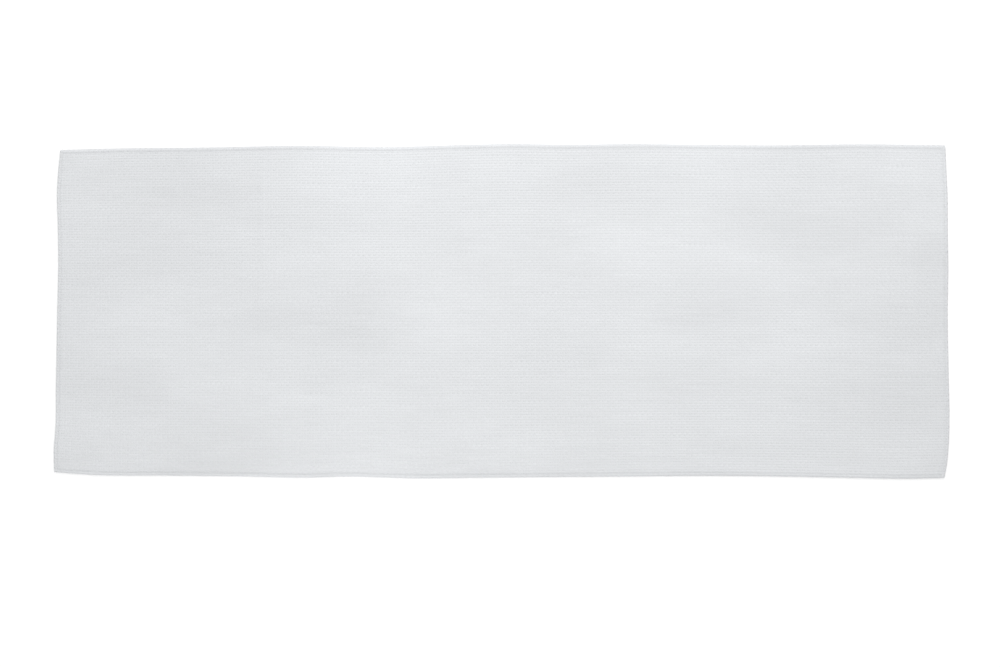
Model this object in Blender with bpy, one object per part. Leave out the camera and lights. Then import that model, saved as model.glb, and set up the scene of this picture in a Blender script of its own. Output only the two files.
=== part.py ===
"""A woven cotton table runner with narrow hems, lying flat on a table.

The runner is a rectangle of coarse ribbed cotton. Each edge is turned under
twice, so that the raw edge is hidden, and the turned layers are held by one
row of lockstitch: a needle thread along the face and a bobbin thread along
the underside. The corners are mitred. Just inside each hem the cloth comes
down from the turned layers to the table.

Units are metres, +Z is up, X runs along the length, and the origin is the
centre of the runner on the table. An inset is a distance inwards from the
runner's outer fold.
"""

import math

import bmesh
import bpy

# Driving dimensions
LENGTH = 1.200  # outer fold to outer fold, along X
WIDTH = 0.445  # outer fold to outer fold, along Y
CLOTH = 0.0012  # one layer of the woven cotton
HEM_WIDTH = 0.0075  # outer fold to inner fold
STITCH_MARGIN = 0.00065  # flat cloth between the stitches' groove and the inner fold
RUN_DOWN = 0.008  # the face layer comes down from the hem to the table over this run
THREAD = 0.0004  # diameter of the sewing thread
CLEARANCE = 0.0003  # between pieces that touch

FOLD_STEPS = 8  # flats round the half turn of a fold
RUN_STEPS = 6  # flats down the run from the hem to the table

# Sizes that follow from them
HEM_HEIGHT = 3 * CLOTH + 2 * CLEARANCE  # two turned layers with the face layer on top
OUTER_FOLD = HEM_HEIGHT / 2  # outside radius of the outer fold
INNER_FOLD = CLOTH + CLEARANCE / 2  # outside radius of the inner fold
FACE_LIFT = HEM_HEIGHT - CLOTH  # underside of the face layer where it lies on the hem
BORDER = HEM_WIDTH + RUN_DOWN  # inset of the line where the border meets the panel
GROOVE_HALF = THREAD / 2 + CLEARANCE  # half width of the groove that stitches press in
FACE_GROOVE = THREAD / 2 + CLEARANCE  # the needle thread stands half proud of the face
BACK_GROOVE = THREAD + CLEARANCE  # the bobbin thread is sunk level with the underside
STITCH_INSET = HEM_WIDTH - INNER_FOLD - STITCH_MARGIN - GROOVE_HALF  # the row's line

COTTON_WHITE = (0.80, 0.81, 0.82, 1.0)
THREAD_WHITE = (0.84, 0.84, 0.84, 1.0)


def clear_scene():
    """Removes every object, and the collections that an earlier run left."""
    for obj in list(bpy.data.objects):
        bpy.data.objects.remove(obj, do_unlink=True)
    for collection in list(bpy.data.collections):
        bpy.data.collections.remove(collection)


def make_material(name, colour, roughness):
    """A plain fibre material."""
    material = bpy.data.materials.new(name)
    material.use_nodes = True
    shader = material.node_tree.nodes["Principled BSDF"]
    shader.inputs["Base Color"].default_value = colour
    shader.inputs["Roughness"].default_value = roughness
    shader.inputs["Metallic"].default_value = 0.0
    return material


def add_mesh_object(name, bm, collection, material):
    """Turns a finished bmesh into an object whose faces point outwards."""
    bmesh.ops.recalc_face_normals(bm, faces=bm.faces)
    mesh = bpy.data.meshes.new(name)
    bm.to_mesh(mesh)
    bm.free()
    mesh.materials.append(material)
    mesh.shade_smooth()
    mesh.set_sharp_from_angle(angle=math.radians(40))
    obj = bpy.data.objects.new(name, mesh)
    collection.objects.link(obj)
    return obj


# ---------------------------------------------------------------- woven panel


def make_panel(collection, material):
    """The field of the runner, flat on the table between the four borders."""
    inset = BORDER + CLEARANCE
    bm = bmesh.new()
    bmesh.ops.create_cube(bm, size=1.0)
    size = (LENGTH - 2 * inset, WIDTH - 2 * inset, CLOTH)
    bmesh.ops.scale(bm, vec=size, verts=bm.verts)
    bmesh.ops.translate(bm, vec=(0.0, 0.0, CLOTH / 2), verts=bm.verts)
    return add_mesh_object("woven_panel", bm, collection, material)


# ----------------------------------------------------------------------- hems


def fold(centre, radius, start, end):
    """Points of (inset, height) round part of a fold, angles in degrees."""
    points = []
    for step in range(FOLD_STEPS + 1):
        angle = math.radians(start + (end - start) * step / FOLD_STEPS)
        inset = centre[0] + radius * math.cos(angle)
        height = centre[1] + radius * math.sin(angle)
        points.append((inset, height))
    return points


def run_up(bottom):
    """One side of the face layer from the table up to the hem, as (inset, height)."""
    points = []
    for step in range(RUN_STEPS + 1):
        share = step / RUN_STEPS
        rise = FACE_LIFT * (1 - math.cos(math.pi * share)) / 2
        points.append((BORDER - RUN_DOWN * share, bottom + rise))
    return points


def groove(start, end, surface, floor):
    """The groove that a row of stitches presses into a surface."""
    return [(start, surface), (start, floor), (end, floor), (end, surface)]


def hem_section():
    """The outline of a double-turned hem, as one folded strip of cloth: face layer,
    outer fold, lower layer, inner fold and the turned-in layer with the raw edge."""
    outer = (OUTER_FOLD, OUTER_FOLD)
    inner = (HEM_WIDTH - INNER_FOLD, INNER_FOLD)
    near_side = STITCH_INSET - GROOVE_HALF
    far_side = STITCH_INSET + GROOVE_HALF

    section = run_up(CLOTH)
    section += groove(far_side, near_side, HEM_HEIGHT, HEM_HEIGHT - FACE_GROOVE)
    section += fold(outer, OUTER_FOLD, 90, 270)
    section += groove(near_side, far_side, 0.0, BACK_GROOVE)
    section += fold(inner, INNER_FOLD, -90, 90)
    section += [
        (OUTER_FOLD, 2 * CLOTH + CLEARANCE),
        (OUTER_FOLD, CLOTH + CLEARANCE),
    ]
    section += fold(inner, INNER_FOLD - CLOTH, 90, -90)
    section += fold(outer, OUTER_FOLD - CLOTH, 270, 90)
    section += reversed(run_up(0.0))
    return section


def make_hem(name, side_length, outer_fold, turn, collection, material):
    """One hem, mitred at both ends, turned about Z to its side of the runner."""
    section = hem_section()
    mitre_gap = CLEARANCE / math.sqrt(2)
    bm = bmesh.new()
    for end in (-1, 1):
        loop = []
        for inset, height in section:
            reach = side_length / 2 - inset - mitre_gap
            loop.append(bm.verts.new((end * reach, inset - outer_fold, height)))
        bm.faces.new(loop)
    bmesh.ops.bridge_loops(bm, edges=list(bm.edges))
    obj = add_mesh_object(name, bm, collection, material)
    obj.rotation_euler.z = math.radians(turn)
    return obj


# -------------------------------------------------------------------- stitches


def make_thread(name, start, end, collection, material):
    """A row of sewing thread as a straight cord that lies in its groove."""
    curve = bpy.data.curves.new(name, "CURVE")
    curve.dimensions = "3D"
    curve.bevel_depth = THREAD / 2
    curve.bevel_resolution = 2
    curve.use_fill_caps = True
    spline = curve.splines.new("POLY")
    spline.points.add(1)
    spline.points[0].co = (*start, 1.0)
    spline.points[1].co = (*end, 1.0)
    curve.materials.append(material)
    obj = bpy.data.objects.new(name, curve)
    collection.objects.link(obj)
    return obj


def make_stitch_rows(prefix, height, collection, material):
    """Four rows at one height: the side rows run corner to corner, and the end
    rows stop short of them."""
    row_x = LENGTH / 2 - STITCH_INSET
    row_y = WIDTH / 2 - STITCH_INSET
    side_reach = row_x + THREAD / 2
    end_reach = row_y - THREAD / 2 - CLEARANCE
    rows = {
        "front": ((-side_reach, -row_y, height), (side_reach, -row_y, height)),
        "back": ((-side_reach, row_y, height), (side_reach, row_y, height)),
        "left": ((-row_x, -end_reach, height), (-row_x, end_reach, height)),
        "right": ((row_x, -end_reach, height), (row_x, end_reach, height)),
    }
    for side, (start, end) in rows.items():
        make_thread(f"{prefix}_{side}", start, end, collection, material)


def main():
    clear_scene()
    runner = bpy.data.collections.new("table_runner")
    bpy.context.scene.collection.children.link(runner)

    make_panel(runner, make_material("woven_cotton", COTTON_WHITE, 0.90))

    hem_cotton = make_material("hem_cotton", COTTON_WHITE, 0.90)
    make_hem("hem_front", LENGTH, WIDTH / 2, 0, runner, hem_cotton)
    make_hem("hem_right", WIDTH, LENGTH / 2, 90, runner, hem_cotton)
    make_hem("hem_back", LENGTH, WIDTH / 2, 180, runner, hem_cotton)
    make_hem("hem_left", WIDTH, LENGTH / 2, 270, runner, hem_cotton)

    needle_height = HEM_HEIGHT - FACE_GROOVE + CLEARANCE + THREAD / 2
    bobbin_height = BACK_GROOVE - CLEARANCE - THREAD / 2
    needle_thread = make_material("needle_thread", THREAD_WHITE, 0.60)
    bobbin_thread = make_material("bobbin_thread", THREAD_WHITE, 0.60)
    make_stitch_rows("needle_thread", needle_height, runner, needle_thread)
    make_stitch_rows("bobbin_thread", bobbin_height, runner, bobbin_thread)


main()
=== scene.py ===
# %% [markdown]
# # A hemmed cotton table runner
# A table runner is one long strip of cloth whose four edges are turned under twice and sewn down. This
# lesson builds it the way it is made: yarns are woven over and under each other, the woven cloth is
# folded at its edges, and two threads lock each seam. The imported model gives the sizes, so it is loaded
# first and measured.

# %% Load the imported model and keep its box
import math

import bmesh
import bpy
import numpy as np
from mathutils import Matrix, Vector


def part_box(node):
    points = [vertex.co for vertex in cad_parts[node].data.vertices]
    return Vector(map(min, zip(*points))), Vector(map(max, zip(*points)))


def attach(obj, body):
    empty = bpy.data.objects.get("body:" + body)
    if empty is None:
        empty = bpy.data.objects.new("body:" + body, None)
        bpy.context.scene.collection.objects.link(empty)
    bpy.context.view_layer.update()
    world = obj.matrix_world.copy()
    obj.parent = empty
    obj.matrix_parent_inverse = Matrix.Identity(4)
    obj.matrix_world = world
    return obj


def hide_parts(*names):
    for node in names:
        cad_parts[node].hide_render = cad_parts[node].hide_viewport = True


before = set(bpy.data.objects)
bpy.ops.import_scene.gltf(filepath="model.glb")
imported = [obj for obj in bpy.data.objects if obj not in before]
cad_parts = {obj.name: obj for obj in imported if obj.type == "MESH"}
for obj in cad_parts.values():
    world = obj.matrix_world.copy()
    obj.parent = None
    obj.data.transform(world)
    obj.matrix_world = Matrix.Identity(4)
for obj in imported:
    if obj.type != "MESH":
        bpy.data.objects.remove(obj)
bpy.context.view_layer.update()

# %% [markdown]
# The camera looks straight down through a long lens, so the weave keeps one scale from corner to corner.
# It is placed before anything is made, since every choice after it is judged through it. Its height
# follows from the width that it should see: that width over the height is the sensor's width over the
# lens's length.

# %% Camera straight above
VIEW_WIDTH = 1.348
LENS = 80.0
SENSOR = 36.0
AIM = (-0.0024, -0.0300)

camera_data = bpy.data.cameras.new("camera")
camera_data.lens = LENS
camera_data.sensor_width = SENSOR
camera = bpy.data.objects.new("camera", camera_data)
camera.location = (AIM[0], AIM[1], VIEW_WIDTH * LENS / SENSOR)
bpy.context.scene.collection.objects.link(camera)
bpy.context.scene.camera = camera
print("camera height:", round(camera.location.z, 3), "m")

# %% [markdown]
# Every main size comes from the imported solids: the finished length and width, the thickness of the cloth,
# the height of the folded hem and the place of its seam. The hem holds three layers: the face, a layer
# that is turned under it and the cut edge, which is tucked between them.

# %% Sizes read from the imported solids
panel_low, panel_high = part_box("woven_panel")
side_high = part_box("hem_right")[1]
back_low, back_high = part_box("hem_back")
HALF_LENGTH = side_high[0]
HALF_WIDTH = back_high[1]
CLOTH = panel_high[2] - panel_low[2]
HEM_HEIGHT = back_high[2] - back_low[2]
LAYER_GAP = (HEM_HEIGHT - 3 * CLOTH) / 2
SEAM_INSET = HALF_WIDTH - sum(corner[1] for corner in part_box("needle_thread_back")) / 2
print("finished size:", round(2 * HALF_LENGTH, 4), "x", round(2 * HALF_WIDTH, 4), "m")
print("cloth", round(CLOTH, 5), "hem", round(HEM_HEIGHT, 5), "seam inset", round(SEAM_INSET, 5))

# %% [markdown]
# ## The cloth seen from its edge
# A hem is easiest to think of as a line drawn through the middle of the cloth and seen from the side. It
# comes up gently off the table, lies flat over the hem, turns down round the outer fold, runs back
# underneath and turns once more so that the cut edge is hidden. Three folded planes with bevels would
# show hard corners, so each stretch of the line is a simple curve with a function of its own.

# %% Sizes of the fold
HEM_WIDTH = 0.0075
REACH = 0.150  # how far in from the edge the cloth starts to rise
LINE_STEPS = 60
OUTER_RADIUS = (HEM_HEIGHT - CLOTH) / 2
INNER_RADIUS = (CLOTH + LAYER_GAP) / 2
OUTER_INSET = HEM_HEIGHT / 2
INNER_INSET = HEM_WIDTH - INNER_RADIUS - CLOTH / 2
print("fold radii:", round(1000 * OUTER_RADIUS, 2), "and", round(1000 * INNER_RADIUS, 2), "mm")


# %% The stretches of the line
def rise_to_hem():
    """From the table up to the hem's face, ending where the hem begins."""
    share = np.linspace(0, 1, LINE_STEPS)
    inset = REACH + (HEM_WIDTH - REACH) * share
    height = CLOTH / 2 + (HEM_HEIGHT - CLOTH) * (1 - np.cos(math.pi * share)) / 2
    return inset, height


def half_turn(inset, height, radius, outward):
    """A half circle about a point, down round the outer fold or up round the inner one."""
    angle = np.linspace(0, math.pi, LINE_STEPS)
    if outward:
        return inset - radius * np.sin(angle), height + radius * np.cos(angle)
    return inset + radius * np.sin(angle), height - radius * np.cos(angle)


print("the rise ends", round(1000 * rise_to_hem()[1][-1], 2), "mm above the table")

# %% [markdown]
# Joined end to end, the stretches say how much cloth the hem uses up. That length sets the size to cut
# before hemming, which is larger than the finished runner by three layers of hem on every side.

# %% The whole line, and the size the cloth is cut to
def folded_line():
    """Inset from the finished edge, height, and length of cloth, all along the line."""
    rise = rise_to_hem()
    outer = half_turn(OUTER_INSET, HEM_HEIGHT / 2, OUTER_RADIUS, True)
    inner = half_turn(INNER_INSET, CLOTH / 2 + INNER_RADIUS, INNER_RADIUS, False)
    cut = (np.array([OUTER_INSET]), np.array([CLOTH / 2 + 2 * INNER_RADIUS]))
    inset = np.concatenate([rise[0], outer[0], inner[0], cut[0]])
    height = np.concatenate([rise[1], outer[1], inner[1], cut[1]])
    length = np.concatenate([[0], np.cumsum(np.hypot(np.diff(inset), np.diff(height)))])
    return inset, height, length


LINE_INSET, LINE_HEIGHT, LINE_LENGTH = folded_line()
EDGE_AT = LINE_LENGTH[np.argmin(LINE_INSET)]
CLOTH_PAST = LINE_LENGTH[-1]
FLAT_LENGTH = 2 * (HALF_LENGTH - REACH + CLOTH_PAST)
FLAT_WIDTH = 2 * (HALF_WIDTH - REACH + CLOTH_PAST)
print("cloth before hemming:", round(FLAT_LENGTH, 4), "x", round(FLAT_WIDTH, 4), "m")

# %% [markdown]
# ## From flat cloth to hemmed cloth
# The whole cloth is first woven flat, with each point known by its place along the length, across the
# width and through the thickness. Folding it afterwards by simulation would take minutes and never come
# out as neat as a pressed hem, so a function folds any such point into place. It starts with one
# direction: how far in from the edge a point comes to lie, how high, and which way the cloth faces there.

# %% Fold one direction
NUDGE = 0.00002  # half the length of line that a slope is measured over


def fold_across(place, half_size):
    """One direction of the flat cloth: where a point comes to lie, how high, and which way is up there."""
    side = np.where(place < 0, -1.0, 1.0)
    past = np.abs(place) - (half_size - REACH)
    inset = np.interp(past, LINE_LENGTH, LINE_INSET)
    height = np.interp(past, LINE_LENGTH, LINE_HEIGHT)
    ahead, behind = past + NUDGE, past - NUDGE
    run = np.interp(ahead, LINE_LENGTH, LINE_INSET) - np.interp(behind, LINE_LENGTH, LINE_INSET)
    climb = np.interp(ahead, LINE_LENGTH, LINE_HEIGHT) - np.interp(behind, LINE_LENGTH, LINE_HEIGHT)
    size = np.hypot(run, climb)
    flat = past <= NUDGE
    size = np.where(flat, 1.0, np.maximum(size, NUDGE / 10))
    return {
        "past": past,
        "inset": np.where(flat, half_size - np.abs(place), inset),
        "where": np.where(flat, place, side * (half_size - inset)),
        "height": height,
        "raised": np.where(flat, 0.0, np.clip((height - CLOTH / 2) / (HEM_HEIGHT - CLOTH), 0, 1)),
        "out": np.where(flat, 0.0, -climb / size) * side,
        "up": np.where(flat, 1.0, -run / size),
    }


ends = fold_across(np.array([FLAT_LENGTH / 2]), HALF_LENGTH)
print("the cut edge is tucked", round(1000 * float(ends["inset"][0]), 2), "mm in from the finished edge")

# %% [markdown]
# Two folded directions meet at the corners. There the turned cloth is cut to a mitre, so a point is never
# turned under at two edges at once: whichever edge turns it, the other only says how near the edge it
# lies. On the open face the two gentle rises are blended, which leaves no line from the corner inwards.
# The seam pulls the face down a little, and it lifts the layer underneath enough for the lower thread to
# lie under it.

# %% Fold both directions
FACE_PULL = 0.00004
BACK_PULL = 0.00033
SEAM_SPREAD = 0.0010
NO_SEAM = 1.0  # an inset that no seam is near


def fold_cloth(along, across, through):
    """Flat cloth coordinates to folded ones, before the cloth is laid down unevenly."""
    u = fold_across(along, HALF_LENGTH)
    v = fold_across(across, HALF_WIDTH)
    u_turned = u["past"] > EDGE_AT
    v_turned = v["past"] > EDGE_AT
    turned = u_turned | v_turned
    u_leads = np.where(turned, u_turned, u["inset"] < v["inset"])
    open_face = ~turned & (u["inset"] >= OUTER_INSET) & (v["inset"] >= OUTER_INSET)
    blended = CLOTH / 2 + (HEM_HEIGHT - CLOTH) * (1 - (1 - u["raised"]) * (1 - v["raised"]))
    height = np.where(open_face, blended, np.where(u_leads, u["height"], v["height"]))
    u_inset = np.where(v_turned, NO_SEAM, u["inset"])
    v_inset = np.where(u_turned, NO_SEAM, v["inset"])
    to_seam = np.minimum(u_inset, v_inset) - SEAM_INSET
    pull = np.exp(-((to_seam / SEAM_SPREAD) ** 2))
    height = height + np.where(turned & (height < CLOTH), BACK_PULL, 0) * pull
    height = height - np.where(turned, 0, FACE_PULL) * pull
    x = u["where"] + np.where(u_leads, u["out"], 0) * through
    y = v["where"] + np.where(u_leads, 0, v["out"]) * through
    z = height + np.where(u_leads, u["up"], v["up"]) * through
    return np.stack([x, y, z], axis=-1)


hem_corner = np.array([HALF_LENGTH - HEM_WIDTH]), np.array([HALF_WIDTH - HEM_WIDTH])
print("face of the hem at a corner:", (1000 * fold_cloth(*hem_corner, 0.0)[0]).round(1), "mm")

# %% [markdown]
# ## How it lies on the table
# Hemmed cotton is never quite straight: the outline wanders by a few millimetres and no corner is quite
# square. Each edge has a short list of places along it, in metres, with how far out it lies there, in
# millimetres.

# %% The outline of each edge
BACK_EDGE = [(-0.596, -5.0), (-0.515, -2.9), (-0.41, -1.8), (-0.27, 0.5), (-0.15, -1.0), (-0.07, 1.3),
             (0.01, 3.0), (0.09, 2.1), (0.17, 3.0), (0.27, 2.1), (0.375, 1.3), (0.476, 2.7), (0.60, 1.2)]
FRONT_EDGE = [(-0.60, -5.6), (-0.555, -2.1), (-0.45, -0.8), (-0.35, 0.3), (-0.27, 1.9), (-0.21, 0.6),
              (-0.11, 2.9), (-0.03, 2.1), (0.13, 0.7), (0.31, -0.5), (0.456, 1.7), (0.537, 3.3), (0.60, 2.4)]
LEFT_EDGE = [(-0.2225, 3.0), (-0.187, 3.4), (-0.167, 1.7), (-0.096, 0.4), (-0.005, -1.1), (0.075, -2.6),
             (0.116, -1.9), (0.166, -0.9), (0.197, -2.8), (0.2225, -5.4)]
RIGHT_EDGE = [(-0.2225, -3.9), (-0.205, -0.4), (-0.185, 1.7), (-0.15, 3.1), (-0.084, 2.0), (-0.003, 0.8),
              (0.058, 1.5), (0.108, 0.9), (0.159, 0.5), (0.179, -0.5), (0.2225, -2.4)]


def eased(place, table):
    """A smooth curve through a short list of (place, millimetres) pairs."""
    at = np.array([row[0] for row in table])
    value = np.array([row[1] for row in table]) / 1000
    tangent = np.gradient(value, at)
    k = np.clip(np.searchsorted(at, place) - 1, 0, len(at) - 2)
    span = at[k + 1] - at[k]
    s = np.clip((place - at[k]) / span, 0, 1)
    from_here = (2 * s**3 - 3 * s**2 + 1) * value[k] + (s**3 - 2 * s**2 + s) * span * tangent[k]
    to_next = (3 * s**2 - 2 * s**3) * value[k + 1] + (s**3 - s**2) * span * tangent[k + 1]
    return from_here + to_next


for title, table in (("back", BACK_EDGE), ("front", FRONT_EDGE), ("left", LEFT_EDGE), ("right", RIGHT_EDGE)):
    print(title, "edge wanders from", min(row[1] for row in table), "to", max(row[1] for row in table), "mm")

# %% [markdown]
# The middle of the cloth rises in low soft swells, which are round mounds added together, and one old
# fold runs across it. Both only lift the cloth, since nothing can push it into the table, and they fade
# out towards the edges. Each mound is listed with its middle, how far it spreads along and across the
# cloth, all in metres, and its height in millimetres. The outline's shifts fade towards the middle, so
# that the weave follows the edges and the rows stay straight further in.

# %% Lay the cloth down
MOUNDS = [(0.16, -0.04, 0.12, 0.09, 4.5), (0.50, 0.04, 0.09, 0.11, 4.5), (-0.50, 0.01, 0.07, 0.13, 3.5),
          (-0.30, -0.12, 0.14, 0.06, 2.5), (-0.26, 0.10, 0.12, 0.07, 2.0), (0.36, -0.13, 0.10, 0.06, 3.0),
          (-0.06, 0.02, 0.09, 0.07, 2.0)]
CREASE_AT = -0.323
CREASE_HEIGHT = 0.0006
CREASE_WIDTH = 0.005
CREASE_FADE = 0.2
SIDE_HOLD = 2  # the higher the power, the nearer to its edge a shift stays
END_HOLD = 8
FADE_AT_EDGE = 0.04


def lay_down(points):
    """Shift the outline and lift the swells."""
    x, y, z = points[..., 0], points[..., 1], points[..., 2]
    length_share = np.clip(x / HALF_LENGTH, -1, 1)
    width_share = np.clip(y / HALF_WIDTH, -1, 1)
    to_back = np.clip(width_share, 0, 1) ** SIDE_HOLD * eased(x, BACK_EDGE)
    to_front = np.clip(-width_share, 0, 1) ** SIDE_HOLD * eased(x, FRONT_EDGE)
    to_right = np.clip(length_share, 0, 1) ** END_HOLD * eased(y, RIGHT_EDGE)
    to_left = np.clip(-length_share, 0, 1) ** END_HOLD * eased(y, LEFT_EDGE)
    lift = np.zeros_like(x)
    for at_x, at_y, wide, deep, height in MOUNDS:
        lift += height / 1000 * np.exp(-(((x - at_x) / wide) ** 2) - ((y - at_y) / deep) ** 2)
    crease = np.exp(-(((x - CREASE_AT) / CREASE_WIDTH) ** 2))
    lift += CREASE_HEIGHT * crease * np.clip(0.5 + y / CREASE_FADE, 0, 1)
    from_sides = np.clip((HALF_WIDTH - np.abs(y)) / FADE_AT_EDGE, 0, 1)
    from_ends = np.clip((HALF_LENGTH - np.abs(x)) / FADE_AT_EDGE, 0, 1)
    z = z + lift * from_sides * from_ends
    return np.stack([x + to_right - to_left, y + to_back - to_front, z], axis=-1)


highest = max(row[4] for row in MOUNDS)
print(len(MOUNDS), "swells, the highest", highest, "mm")

# %% [markdown]
# ## Rolling yarns
# A yarn is a long thin tube. A curve with a bevel would be the quick way to one, but nearly a thousand
# curves are slow, and a curve can't be flat where it crosses another. A flat grid can be rolled into a
# tube instead: its rows become lines along the yarn and its columns become rings round it. One grid with
# many rows makes a whole set of yarns at once, once the faces that would join one yarn to the next are
# deleted.

# %% A grid cut into strips
def strips(name, tubes, rings, sides):
    """A flat grid mesh of one strip for each tube, with sides + 1 rows of points in each strip."""
    bm = bmesh.new()
    bmesh.ops.create_grid(bm, x_segments=rings - 1, y_segments=tubes * (sides + 1) - 1, size=0.5)
    bm.faces.ensure_lookup_table()
    between = [face for face in bm.faces if (face.index // (rings - 1)) % (sides + 1) == sides]
    bmesh.ops.delete(bm, geom=between, context="FACES_ONLY")
    mesh = bpy.data.meshes.new(name)
    bm.to_mesh(mesh)
    bm.free()
    return mesh


sample = strips("sample", 2, 5, 4)
print("two strips of five rings:", len(sample.vertices), "points,", len(sample.polygons), "faces")
bpy.data.meshes.remove(sample)

# %% [markdown]
# While the strips are still open, each point knows its tube, its ring and its side, so this is the moment
# to give the mesh its maps. The map named "yarn" says how far along a yarn a point lies and how far round
# it, and the finishes read that. The map named "OFBake" lays every strip out side by side inside one
# square, so that each part of the surface has a place of its own when the finish is baked.

# %% Give a mesh its maps
def add_maps(mesh, maps):
    """Write each named map, given point by point, to the corners of the faces."""
    corner = np.empty(len(mesh.loops), np.int32)
    mesh.loops.foreach_get("vertex_index", corner)
    for title, values in maps.items():
        layer = mesh.uv_layers.new(name=title)
        layer.uv.foreach_set("vector", values[corner].astype(np.float32).ravel())


# %% [markdown]
# Last, numpy moves every point to its place and the doubles are merged, which closes each tube along its
# seam and at its pointed ends. The normals are worked out again after that, since a rolled strip may have
# been turned inside out. A yarn's round top is shaded smooth, and its two narrow sides stay sharp.

# %% Roll the strips into tubes
SAME_POINT = 1e-6
SHARP = math.radians(70)


def rolled_tubes(name, tubes, rings, sides, place):
    """One object of closed tubes. place(tube, ring, side) gives points, lengths and further maps."""
    mesh = strips(name, tubes, rings, sides)
    index = np.arange(len(mesh.vertices))
    ring, row = index % rings, index // rings
    tube, side = row // (sides + 1), row % (sides + 1)
    points, travelled, further = place(tube, ring, side)
    mesh.vertices.foreach_set("co", points.astype(np.float32).ravel())
    pattern = np.stack([travelled, side / sides + tube], axis=-1)
    own = np.stack([(ring + 0.5) / rings, (tube + (side + 0.5) / (sides + 1)) / tubes], axis=-1)
    add_maps(mesh, {"yarn": pattern, **further, "OFBake": own})
    bm = bmesh.new()
    bm.from_mesh(mesh)
    bmesh.ops.remove_doubles(bm, verts=bm.verts, dist=SAME_POINT)
    loose = [point for point in bm.verts if not point.link_faces]
    bmesh.ops.delete(bm, geom=loose, context="VERTS")
    bmesh.ops.recalc_face_normals(bm, faces=bm.faces)
    bm.to_mesh(mesh)
    bm.free()
    mesh.shade_smooth()
    mesh.set_sharp_from_angle(angle=SHARP)
    piece = bpy.data.objects.new(name, mesh)
    bpy.context.scene.collection.objects.link(piece)
    triangles = sum(len(polygon.vertices) - 2 for polygon in mesh.polygons)
    print(name, "has", tubes, "tubes and", triangles, "triangles")
    return piece


# %% [markdown]
# ## The weave
# The squares of the cloth are a basket weave: two yarns side by side pass over two crossing yarns, then
# under the next two. Warp yarns run along the length and weft yarns across it. A bump on a flat sheet
# would look right from above only, so every yarn is a real tube that swings up and down through the
# thickness of the cloth. The number of squares is even both ways, which keeps the weave the same at both
# ends.

# %% Set the weave out
SQUARE = 0.00355
PAIR = 2
CELLS_LONG = 2 * round(FLAT_LENGTH / SQUARE / 2)
CELLS_WIDE = 2 * round(FLAT_WIDTH / SQUARE / 2)
LENGTHWISE = {"flat": FLAT_LENGTH, "half": HALF_LENGTH, "cells": CELLS_LONG}
WIDTHWISE = {"flat": FLAT_WIDTH, "half": HALF_WIDTH, "cells": CELLS_WIDE}
for way in (LENGTHWISE, WIDTHWISE):
    way["pitch"] = way["flat"] / way["cells"]
print("squares:", CELLS_LONG, "x", CELLS_WIDE)
print("yarns:", PAIR * CELLS_WIDE, "warp and", PAIR * CELLS_LONG, "weft")

# %% [markdown]
# A tube needs few rings where it only weaves: one at the middle of each square is enough for the swing.
# Round the folds of the hem it bends through a half circle in a few millimetres, so there the rings stand
# closer.

# %% Where the rings go
FINE = 0.0007


def stations(way):
    """Places of the rings along one way of the cloth, closer together round the folds."""
    middle = (np.arange(way["cells"]) + 0.5) * way["pitch"] - way["flat"] / 2
    turn_from = way["flat"] / 2 - CLOTH_PAST + EDGE_AT - math.pi / 2 * OUTER_RADIUS
    field = middle[np.abs(middle) < turn_from]
    count = math.ceil((way["flat"] / 2 - field[-1]) / FINE)
    edge = np.linspace(field[-1], way["flat"] / 2, count + 1)[1:]
    return np.concatenate([-edge[::-1], field, edge])


print("rings on a warp yarn:", len(stations(LENGTHWISE)), "on a weft yarn:", len(stations(WIDTHWISE)))

# %% [markdown]
# Between the rings a yarn runs straight, so its swing is a plain zigzag: up at the middle of one square and
# down at the middle of the next. Every second pair of yarns is odd, and starts the other way round.

# %% Over and under
def over_under(place, way, odd):
    """Up on one square, down on the next: from 1 to -1 and back."""
    squares = (place + way["flat"] / 2) / way["pitch"] - 0.5
    return 1 - 2 * np.abs((squares + odd) % 2 - 1)


print("first squares of a warp yarn:", over_under(stations(LENGTHWISE)[40:44], LENGTHWISE, 0).round(2))

# %% [markdown]
# Not every yarn runs from cut edge to cut edge. In the mitred corners some of the cloth is cut away: a
# yarn that lies inside the side hem's width stops at the mitre underneath, and a yarn that belongs to the
# turned layers stops at the mitre before it would reach the end hem. The folded line is read backwards
# here: it gives the length of cloth at which a known inset is reached.

# %% Where the yarns end
ON_TOP = LINE_LENGTH <= EDGE_AT
BACK_FROM = np.argmax(LINE_LENGTH > EDGE_AT)
BACK_TO = np.argmax((LINE_LENGTH > EDGE_AT) & (LINE_INSET >= INNER_INSET - SAME_POINT)) + 1


def run_to_mitre(across, across_way, along_way):
    """How far each yarn runs from the middle: to the cut edge, or to the mitre if it lies inside a hem."""
    folded = fold_across(across, across_way["half"])
    inset, turned = folded["inset"], folded["past"] > EDGE_AT
    on_top = np.interp(-inset, -LINE_INSET[ON_TOP], LINE_LENGTH[ON_TOP])
    within = np.clip(inset, OUTER_INSET, HEM_WIDTH)
    underneath = np.interp(within, LINE_INSET[BACK_FROM:BACK_TO], LINE_LENGTH[BACK_FROM:BACK_TO])
    to_reach = along_way["half"] - REACH
    run = np.where(~turned & (inset < HEM_WIDTH), to_reach + underneath, along_way["flat"] / 2)
    return np.where(turned, to_reach + on_top, run)


middle_run = run_to_mitre(np.zeros(1), WIDTHWISE, LENGTHWISE)[0]
print("a yarn in the middle runs", round(float(middle_run), 4), "m each way")

# %% [markdown]
# ## One set of yarns
# The swings and the yarn's thickness belong together. Half of both swings must hold a whole yarn, or the
# crossing yarns would cut into each other, and the larger swing with half a yarn must stay inside the
# cloth's thickness, or the cloth would sink into the table. Each pair is crowned: its outer sides lie
# lower than its middle, as yarns that are pressed together do.

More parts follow.
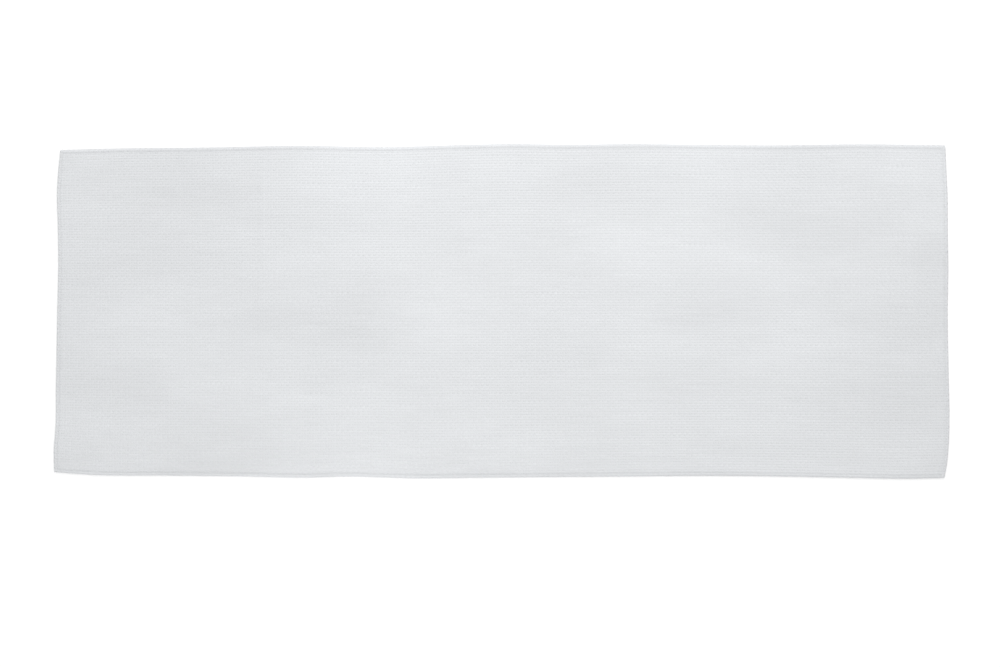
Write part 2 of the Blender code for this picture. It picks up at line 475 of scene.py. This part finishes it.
# %% Sizes of a yarn
YARN_SIDES = 4
YARN_HALF = 0.00013
WARP = {"swing": 0.00040, "crown": 0.35}
WEFT = {"swing": 0.00034, "crown": 0.2}
COVER = 0.995  # how much of its room a yarn fills, across the cloth
room = sum(kind["swing"] * (1 - kind["crown"] / 4) for kind in (WARP, WEFT)) / 2
print("room at a crossing:", round(1000 * room, 3), "mm for yarns of", 2000 * YARN_HALF, "mm")
print("half thickness of the weave:", round(1000 * (WARP["swing"] + YARN_HALF), 2), "of", 500 * CLOTH, "mm")


# %% [markdown]
# Each set is rolled in one go. A ring past the end of its yarn is drawn back to the end and closed to a
# point. A point lies on a pair's outer side when it is far from the middle of its own yarn and far from
# the middle of the pair. The map named "squares" counts the squares along and across the cloth, so that a
# finish can tell where one square ends and the next begins.

# %% Make a set of yarns
FAR_FROM_YARN = 0.4  # as a share of the yarn's width
FAR_FROM_PAIR = 0.8  # as a share of half the pair's width


def yarn_set(name, first, last, kind, along_way, across_way):
    """The parallel yarns of the squares from first to last, as one piece."""
    along_at = stations(along_way)
    number = np.arange(first * PAIR, last * PAIR)
    width = across_way["pitch"] / PAIR
    middle = (number + 0.5) * width - across_way["flat"] / 2
    run = run_to_mitre(middle, across_way, along_way)
    lengthwise = along_way is LENGTHWISE
    odd = number // PAIR + (0 if lengthwise else 1)

    def place(tube, ring, side):
        angle = 2 * math.pi * side / YARN_SIDES
        along = np.clip(along_at[ring], -run[tube], run[tube])
        whole = (ring > 0) & (ring < len(along_at) - 1) & (np.abs(along_at[ring]) <= run[tube])
        across = middle[tube] + COVER * width / 2 * np.cos(angle) * whole
        from_middle = 2 * (((across + across_way["flat"] / 2) / across_way["pitch"]) % 1) - 1
        off_yarn = np.abs(across - middle[tube]) / width
        outer_side = (off_yarn > FAR_FROM_YARN) & (np.abs(from_middle) > FAR_FROM_PAIR)
        crowned = 1 - kind["crown"] * np.where(outer_side, 1, from_middle) ** 2
        swing = kind["swing"] * over_under(along, along_way, odd[tube]) * crowned
        through = swing + YARN_HALF * np.sin(angle) * whole
        x, y = (along, across) if lengthwise else (across, along)
        squares = np.stack([x / LENGTHWISE["pitch"], y / WIDTHWISE["pitch"]], axis=-1)
        return lay_down(fold_cloth(x, y, through)), along, {"squares": squares}

    return rolled_tubes(name, len(number), len(along_at), YARN_SIDES, place)


# %% [markdown]
# All the warp in one piece would be far too heavy to handle, so the warp is made in five pieces side by
# side and the weft in six. The joints between them fall between two yarns and can't be seen.

# %% Weave the cloth
WARP_SETS = 5
WEFT_SETS = 6


def shares_of(cells, sets):
    """Divide the squares into nearly equal runs, as (first, last) pairs."""
    return [(cells * k // sets, cells * (k + 1) // sets) for k in range(sets)]


warp = [yarn_set(f"warp_yarns_{k + 1}", *share, WARP, LENGTHWISE, WIDTHWISE)
        for k, share in enumerate(shares_of(CELLS_WIDE, WARP_SETS))]
weft = [yarn_set(f"weft_yarns_{k + 1}", *share, WEFT, WIDTHWISE, LENGTHWISE)
        for k, share in enumerate(shares_of(CELLS_LONG, WEFT_SETS))]
print(len(warp), "warp pieces and", len(weft), "weft pieces")

# %% [markdown]
# ## Finishes
# Every piece here is spun cotton, in one form or another. What the finishes share is built once, as
# shader node groups with named inputs: the relief of a spun yarn, the furrows between the squares, and
# the colour of undyed cotton with its painted light and shade. Two helpers keep the groups short to read:
# one starts a group and one adds a Math node.

# %% Helpers for node groups
def new_group(title, inputs, outputs):
    """An empty shader node group with its sockets made."""
    group = bpy.data.node_groups.new(title, "ShaderNodeTree")
    for label, kind, value in inputs:
        socket = group.interface.new_socket(name=label, in_out="INPUT", socket_type=kind)
        socket.default_value = value
    for label, kind in outputs:
        group.interface.new_socket(name=label, in_out="OUTPUT", socket_type=kind)
    return group, group.nodes.new("NodeGroupInput"), group.nodes.new("NodeGroupOutput")


def math_node(tree, operation, *operands):
    """One Math node; each operand is a socket or a number."""
    node = tree.nodes.new("ShaderNodeMath")
    node.operation = operation
    for slot, value in enumerate(operands):
        if isinstance(value, (int, float)):
            node.inputs[slot].default_value = value
        else:
            tree.links.new(value, node.inputs[slot])
    return node.outputs[0]


def noise_node(tree, vector, detail):
    """Noise on coordinates that are already at its scale."""
    noise = tree.nodes.new("ShaderNodeTexNoise")
    noise.inputs["Scale"].default_value = 1.0
    noise.inputs["Detail"].default_value = detail
    tree.links.new(vector, noise.inputs["Vector"])
    return noise.outputs["Fac"]


# %% [markdown]
# A yarn is several strands twisted together, with loose fibres on the outside. In the map named "yarn" a
# strand is a straight slanting line, so one sine of the length and the turn together draws them all. The
# relief is rounder than the tube's four sides are, and noise drawn out along the yarn stands for the
# fibres. The group also says where the grooves between the strands are, for the colour's painted shade.

# %% Relief of a spun yarn
CREST_POWER = 3.0
GROOVE_POWER = 3.0
FIBRE_DETAIL = 3.0


def yarn_relief_group():
    """Height of a spun yarn's surface: round across, with strands that wind along it and loose fibres."""
    group, given, result = new_group(
        "Yarn relief",
        [("Along", "NodeSocketFloat", 0.0), ("Around", "NodeSocketFloat", 0.0),
         ("Strands", "NodeSocketFloat", 8.0), ("Twist per metre", "NodeSocketFloat", 300.0),
         ("Roundness", "NodeSocketFloat", 0.0001), ("Strand depth", "NodeSocketFloat", 0.00003),
         ("Fibre depth", "NodeSocketFloat", 0.00001), ("Fibres along", "NodeSocketFloat", 900.0),
         ("Fibres around", "NodeSocketFloat", 55.0)],
        [("Height", "NodeSocketFloat"), ("Groove", "NodeSocketFloat")])
    along, turn = given.outputs["Along"], given.outputs["Around"]
    around = math_node(group, "FRACT", turn)
    one_face = math_node(group, "FRACT", math_node(group, "MULTIPLY", around, 2.0))
    off_crest = math_node(group, "ABSOLUTE", math_node(group, "MULTIPLY_ADD", one_face, 2.0, -1.0))
    crest = math_node(group, "SUBTRACT", 1.0, math_node(group, "POWER", off_crest, CREST_POWER))
    wound = math_node(group, "MULTIPLY", around, given.outputs["Strands"])
    wound = math_node(group, "MULTIPLY_ADD", along, given.outputs["Twist per metre"], wound)
    wave = math_node(group, "SINE", math_node(group, "MULTIPLY", wound, math.pi))
    strand = math_node(group, "ABSOLUTE", wave)
    drawn_out = group.nodes.new("ShaderNodeCombineXYZ")
    for slot, (place, count) in enumerate(((along, "Fibres along"), (turn, "Fibres around"))):
        group.links.new(math_node(group, "MULTIPLY", place, given.outputs[count]), drawn_out.inputs[slot])
    fibres = noise_node(group, drawn_out.outputs[0], FIBRE_DETAIL)
    height = math_node(group, "MULTIPLY", crest, given.outputs["Roundness"])
    height = math_node(group, "MULTIPLY_ADD", strand, given.outputs["Strand depth"], height)
    height = math_node(group, "MULTIPLY_ADD", fibres, given.outputs["Fibre depth"], height)
    group.links.new(height, result.inputs["Height"])
    groove = math_node(group, "POWER", math_node(group, "SUBTRACT", 1.0, strand), GROOVE_POWER)
    group.links.new(groove, result.inputs["Groove"])
    return group


YARN_RELIEF = yarn_relief_group()
print(YARN_RELIEF.name, "has", len(YARN_RELIEF.nodes), "nodes")

# %% [markdown]
# From far away the strands vanish, and what is left of the weave is a line between one row of squares and
# the next. On the real cloth the warp is drawn tighter, so the lines along the length are deeper than the
# ones across it. The tubes give that shape only roughly, and a cosine over the map named "squares"
# softens and deepens it: lowest between two squares and highest in their middles.

# %% Furrows between the squares
def furrow_group():
    """Height of the soft furrows between the squares, along the rows and along the columns."""
    group, given, result = new_group(
        "Furrows",
        [("Along", "NodeSocketFloat", 0.0), ("Across", "NodeSocketFloat", 0.0),
         ("Row depth", "NodeSocketFloat", 0.0), ("Column depth", "NodeSocketFloat", 0.0)],
        [("Height", "NodeSocketFloat")])
    waves = []
    for axis, depth in (("Across", "Row depth"), ("Along", "Column depth")):
        phase = math_node(group, "MULTIPLY_ADD", given.outputs[axis], 2 * math.pi, math.pi)
        wave = math_node(group, "COSINE", phase)
        waves.append(math_node(group, "MULTIPLY", wave, given.outputs[depth]))
    group.links.new(math_node(group, "ADD", *waves), result.inputs["Height"])
    return group


FURROW_RELIEF = furrow_group()
print(FURROW_RELIEF.name, "has", len(FURROW_RELIEF.nodes), "nodes")

# %% [markdown]
# Undyed cotton is a cool white that is never even. Slow clouds drift over the whole cloth, in Object
# coordinates, so that crossing yarns share them; they are partly that uneven tone and partly painted light
# and shade. Slubs are thicker and thinner stretches of one yarn, so they follow the yarn's own number and
# length. Grooves get a little painted shade. All three only move the colour a small way between a light
# and a dark tone.

# %% Colour of undyed cotton, with painted light and shade
CLOUDS_PER_METRE = (4.0, 9.0, 6.0)
CLOUDS_START = (3.1, 1.7, 0.0)
CLOUD_DETAIL = 3.0
SLUB_DETAIL = 2.0
NOISE_MIDDLE = 0.5
MIDDLE_SHADE = 0.4
UNLIKE_NEIGHBOUR = 3.7  # noise is read this far apart for yarns side by side
ROUGHNESS_SPREAD = 0.08


def cotton_tone_group():
    """Colour and roughness of undyed cotton: slow clouds of tone and painted light, slubs along each yarn,
    painted groove shade.
    """
    group, given, result = new_group(
        "Cotton tone",
        [("Yarn number", "NodeSocketFloat", 0.0), ("Along", "NodeSocketFloat", 0.0),
         ("Groove", "NodeSocketFloat", 0.0), ("Light colour", "NodeSocketColor", (0.7, 0.7, 0.7, 1)),
         ("Dark colour", "NodeSocketColor", (0.6, 0.6, 0.6, 1)), ("Clouds", "NodeSocketFloat", 0.5),
         ("Slubs", "NodeSocketFloat", 0.5), ("Slubs per metre", "NodeSocketFloat", 14.0),
         ("Groove shade", "NodeSocketFloat", 0.25), ("Roughness", "NodeSocketFloat", 0.88)],
        [("Colour", "NodeSocketColor"), ("Roughness", "NodeSocketFloat")])
    place = group.nodes.new("ShaderNodeTexCoord")
    spread = group.nodes.new("ShaderNodeMapping")
    spread.inputs["Scale"].default_value = CLOUDS_PER_METRE
    spread.inputs["Location"].default_value = CLOUDS_START
    group.links.new(place.outputs["Object"], spread.inputs["Vector"])
    # Slow clouds: partly the cotton's uneven tone, partly painted patches of light and shade.
    clouds = noise_node(group, spread.outputs["Vector"], CLOUD_DETAIL)
    cloud = math_node(group, "SUBTRACT", clouds, NOISE_MIDDLE)
    own_place = group.nodes.new("ShaderNodeCombineXYZ")
    slub_at = math_node(group, "MULTIPLY", given.outputs["Along"], given.outputs["Slubs per metre"])
    group.links.new(slub_at, own_place.inputs[0])
    apart = math_node(group, "MULTIPLY", given.outputs["Yarn number"], UNLIKE_NEIGHBOUR)
    group.links.new(apart, own_place.inputs[1])
    slubs = noise_node(group, own_place.outputs[0], SLUB_DETAIL)
    slub = math_node(group, "SUBTRACT", slubs, NOISE_MIDDLE)
    shade = math_node(group, "MULTIPLY_ADD", cloud, given.outputs["Clouds"], MIDDLE_SHADE)
    shade = math_node(group, "MULTIPLY_ADD", slub, given.outputs["Slubs"], shade)
    # Painted shade: the colour is darker in the grooves between the strands.
    shade = math_node(group, "MULTIPLY_ADD", given.outputs["Groove"], given.outputs["Groove shade"], shade)
    mix = group.nodes.new("ShaderNodeMix")
    mix.data_type = "RGBA"
    group.links.new(shade, mix.inputs["Factor"])
    group.links.new(given.outputs["Light colour"], mix.inputs["A"])
    group.links.new(given.outputs["Dark colour"], mix.inputs["B"])
    group.links.new(mix.outputs["Result"], result.inputs["Colour"])
    uneven = math_node(group, "MULTIPLY_ADD", slub, ROUGHNESS_SPREAD, given.outputs["Roughness"])
    group.links.new(uneven, result.inputs["Roughness"])
    return group


COTTON_TONE = cotton_tone_group()
print(COTTON_TONE.name, "has", len(COTTON_TONE.nodes), "nodes")

# %% [markdown]
# Each finish places the groups with its own values. The Principled BSDF stays in the material, with its
# sheen and specular level set on its own sockets. Cotton has a faint sheen of fibre ends and hardly any
# gloss.

# %% A cotton finish
def map_sockets(tree, title):
    """The two sockets of one of the piece's own maps."""
    own_map = tree.nodes.new("ShaderNodeUVMap")
    own_map.uv_map = title
    split = tree.nodes.new("ShaderNodeSeparateXYZ")
    tree.links.new(own_map.outputs["UV"], split.inputs[0])
    return split.outputs["X"], split.outputs["Y"]


def placed_group(tree, group, links, values):
    """A group node with its inputs linked or set."""
    node = tree.nodes.new("ShaderNodeGroup")
    node.node_tree = group
    for label, socket in links.items():
        tree.links.new(socket, node.inputs[label])
    for label, value in values.items():
        node.inputs[label].default_value = value
    return node


def cotton_finish(title, tone, relief, furrows, sheen):
    """Spun cotton, read from a piece's own maps. A piece without squares has no furrows."""
    material = bpy.data.materials.new(title)
    material.use_nodes = True
    tree = material.node_tree
    shader = tree.nodes["Principled BSDF"]
    shader.inputs["Sheen Weight"].default_value = sheen
    shader.inputs["Sheen Roughness"].default_value = 0.5
    shader.inputs["Specular IOR Level"].default_value = 0.25
    along, around = map_sockets(tree, "yarn")
    surface = placed_group(tree, YARN_RELIEF, {"Along": along, "Around": around}, relief)
    number = math_node(tree, "FLOOR", around)
    read = {"Yarn number": number, "Along": along, "Groove": surface.outputs["Groove"]}
    colour = placed_group(tree, COTTON_TONE, read, tone)
    tree.links.new(colour.outputs["Colour"], shader.inputs["Base Color"])
    tree.links.new(colour.outputs["Roughness"], shader.inputs["Roughness"])
    height = surface.outputs["Height"]
    if furrows:
        column, row = map_sockets(tree, "squares")
        furrow = placed_group(tree, FURROW_RELIEF, {"Along": column, "Across": row}, furrows)
        height = math_node(tree, "ADD", height, furrow.outputs["Height"])
    bump = tree.nodes.new("ShaderNodeBump")
    bump.inputs["Distance"].default_value = 1.0
    tree.links.new(height, bump.inputs["Height"])
    tree.links.new(bump.outputs["Normal"], shader.inputs["Normal"])
    return material


# %% [markdown]
# Warp and weft are the same cotton, but the warp shows its slubs more, as streaks along the cloth. Sewing
# thread is finer, twisted harder and a little whiter and smoother.

# %% Warp, weft and sewing thread
# The clouds in both tones are partly uneven tone and partly painted light and shade; grooves get painted
# shade.
COTTON = {"Light colour": (0.704, 0.717, 0.734, 1), "Dark colour": (0.563, 0.572, 0.584, 1),
          "Clouds": 0.9, "Roughness": 0.9}
SPUN = {"Strands": 8.0, "Twist per metre": 260.0, "Roundness": 0.00012, "Strand depth": 0.00003,
        "Fibre depth": 0.00003}
FURROWS = {"Row depth": 0.00017, "Column depth": 0.00004}
THREAD = {"Light colour": (0.71, 0.72, 0.73, 1), "Dark colour": (0.65, 0.66, 0.67, 1), "Clouds": 0.9,
          "Slubs": 0.2, "Roughness": 0.64}
TWISTED = {"Strands": 3.0, "Twist per metre": 900.0, "Roundness": 0.0, "Strand depth": 0.000015,
           "Fibre depth": 0.000004}
SHEEN = 0.1

warp_finish = cotton_finish("white warp cotton", {**COTTON, "Slubs": 0.75}, SPUN, FURROWS, SHEEN)
weft_finish = cotton_finish("white weft cotton", {**COTTON, "Slubs": 0.25}, SPUN, FURROWS, SHEEN)
thread_finish = cotton_finish("white sewing thread", THREAD, TWISTED, None, SHEEN / 2)
print("finishes:", ", ".join(material.name for material in (warp_finish, weft_finish, thread_finish)))

# %% [markdown]
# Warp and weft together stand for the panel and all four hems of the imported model, because on the real
# runner they are one cloth: every yarn runs on through the hem.

# %% Finish the yarns and place them on the body
for piece, finish in [(piece, warp_finish) for piece in warp] + [(piece, weft_finish) for piece in weft]:
    piece.data.materials.append(finish)
    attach(piece, "root")
    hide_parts("woven_panel", "hem_front", "hem_back", "hem_left", "hem_right")
print("finished", len(warp) + len(weft), "pieces of cloth")

# %% [markdown]
# ## Sewing the hems
# A lockstitch is made by two threads. The needle thread lies on top and dips into the cloth at the end of
# every stitch, where the bobbin thread comes up from below and is caught by it in the middle of the
# layers. Each thread is one more rolled tube, and it repeats a short profile: where its rings stand along
# one stitch, and how far towards its outer side it is at each. A slight lean keeps the stitches from
# looking ruled.

# %% Sizes of the stitches
THREAD_RADIUS = 0.0002
THREAD_SIDES = 6
STITCH = 0.003
RING_SHARES = np.array([0.0, 0.09, 0.22, 0.5, 0.78, 0.91])
RING_HEIGHTS = np.array([0.0, 0.80, 0.98, 1.0, 0.98, 0.80])
LEAN = 0.00006
LOCK_HEIGHT = HEM_HEIGHT / 2  # where the two threads catch each other
FACE_CREST = HEM_HEIGHT - CLOTH / 2 + WARP["swing"] + YARN_HALF - FACE_PULL
print("stitches of", 1000 * STITCH, "mm lie at", round(1000 * FACE_CREST, 2), "mm above the table")


# %% [markdown]
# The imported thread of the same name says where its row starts, where it ends and which way it runs, so
# one function sews all eight rows. Each ring stands square to the path, which climbs steeply where it
# dips.

# %% Sew one row
def stitch_row(name, on_top):
    """One thread along one seam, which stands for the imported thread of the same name."""
    low, high = (np.array(corner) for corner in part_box(name))
    lengthwise = high[0] - low[0] > high[1] - low[1]
    own, other = (0, 1) if lengthwise else (1, 0)
    seam = (low[other] + high[other]) / 2
    stitches = round((high[own] - low[own]) / STITCH)
    pitch = (high[own] - low[own]) / stitches
    rings = stitches * len(RING_SHARES) + 1
    stitch, part = np.divmod(np.arange(rings), len(RING_SHARES))
    along_at = low[own] + (stitch + RING_SHARES[part]) * pitch
    outer = FACE_CREST + THREAD_RADIUS if on_top else THREAD_RADIUS
    lock = LOCK_HEIGHT + (THREAD_RADIUS if on_top else -THREAD_RADIUS)
    height_at = lock + (outer - lock) * RING_HEIGHTS[part]
    aside_at = LEAN * np.sin(2 * math.pi * RING_SHARES[part])
    run, climb = np.gradient(along_at), np.gradient(height_at)
    size = np.hypot(run, climb)

    def place(tube, ring, side):
        angle = 2 * math.pi * side / THREAD_SIDES
        radius = THREAD_RADIUS * ((ring > 0) & (ring < rings - 1))
        across = seam + aside_at[ring] + radius * np.cos(angle)
        lift = radius * np.sin(angle)
        along = along_at[ring] - lift * climb[ring] / size[ring]
        height = height_at[ring] + lift * run[ring] / size[ring]
        points = (along, across, height) if lengthwise else (across, along, height)
        return lay_down(np.stack(points, axis=-1)), along, {}

    piece = rolled_tubes(f"{name}_stitches", 1, rings, THREAD_SIDES, place)
    piece.data.materials.append(thread_finish)
    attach(piece, "root")
    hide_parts(name)
    return piece


# %% Sew all four hems
for edge in ("front", "back", "left", "right"):
    stitch_row(f"needle_thread_{edge}", True)
    stitch_row(f"bobbin_thread_{edge}", False)

# %% [markdown]

# %% [markdown]
# ## The table
# A plain matt white table, so pale that the cloth's shadow hardly shows on it. It is only part of the
# stage.

# %% White table
FLOOR_HALF = 6
bm = bmesh.new()
bmesh.ops.create_grid(bm, x_segments=1, y_segments=1, size=FLOOR_HALF)
floor_mesh = bpy.data.meshes.new("floor")
bm.to_mesh(floor_mesh)
bm.free()
floor = bpy.data.objects.new("floor", floor_mesh)
bpy.context.scene.collection.objects.link(floor)
white = bpy.data.materials.new("white table")
white.use_nodes = True
white.node_tree.nodes["Principled BSDF"].inputs["Base Color"].default_value = (0.97, 0.97, 0.97, 1)
white.node_tree.nodes["Principled BSDF"].inputs["Roughness"].default_value = 0.8
floor.data.materials.append(white)
print("table:", 2 * FLOOR_HALF, "m square")

# %% [markdown]
# ## Light
# White cloth on a white table needs a room that is bright all round, or its edges turn grey. Most of the
# light is therefore the world's. What shows the weave is a softbox behind the cloth, low enough to rake
# over the rows. A small lamp overhead lifts the middle, and a long strip close to the front edge gives
# back the light that a pale wall would, so that the front fold isn't dull. The lamps are hidden from the
# camera.

# %% World and softboxes
world = bpy.data.worlds.new("studio")
bpy.context.scene.world = world
world.use_nodes = True
background = world.node_tree.nodes["Background"]
background.inputs["Color"].default_value = (1, 1, 1, 1)
background.inputs["Strength"].default_value = 1.0


def softbox(name, place, aim, size, watts):
    """A soft rectangular lamp that faces a point."""
    data = bpy.data.lights.new(name, "AREA")
    data.shape = "RECTANGLE"
    data.size, data.size_y = size
    data.energy = watts
    lamp = bpy.data.objects.new(name, data)
    lamp.location = place
    lamp.rotation_euler = (Vector(aim) - Vector(place)).to_track_quat("-Z", "Y").to_euler()
    lamp.visible_camera = False
    bpy.context.scene.collection.objects.link(lamp)
    print(name, "at", place, "with", watts, "W")


softbox("key light", place=(0.06, 1.00, 0.90), aim=(0.03, 0, 0), size=(0.8, 0.5), watts=5.5)
softbox("overhead fill", place=(0.12, 0.06, 0.95), aim=(0.12, 0.06, 0), size=(0.5, 0.3), watts=0.8)
softbox("front bounce", place=(-0.22, -0.49, 0.10), aim=(-0.22, -HALF_WIDTH, 0), size=(0.7, 0.05), watts=0.3)
bpy.context.scene.view_settings.view_transform = "Standard"
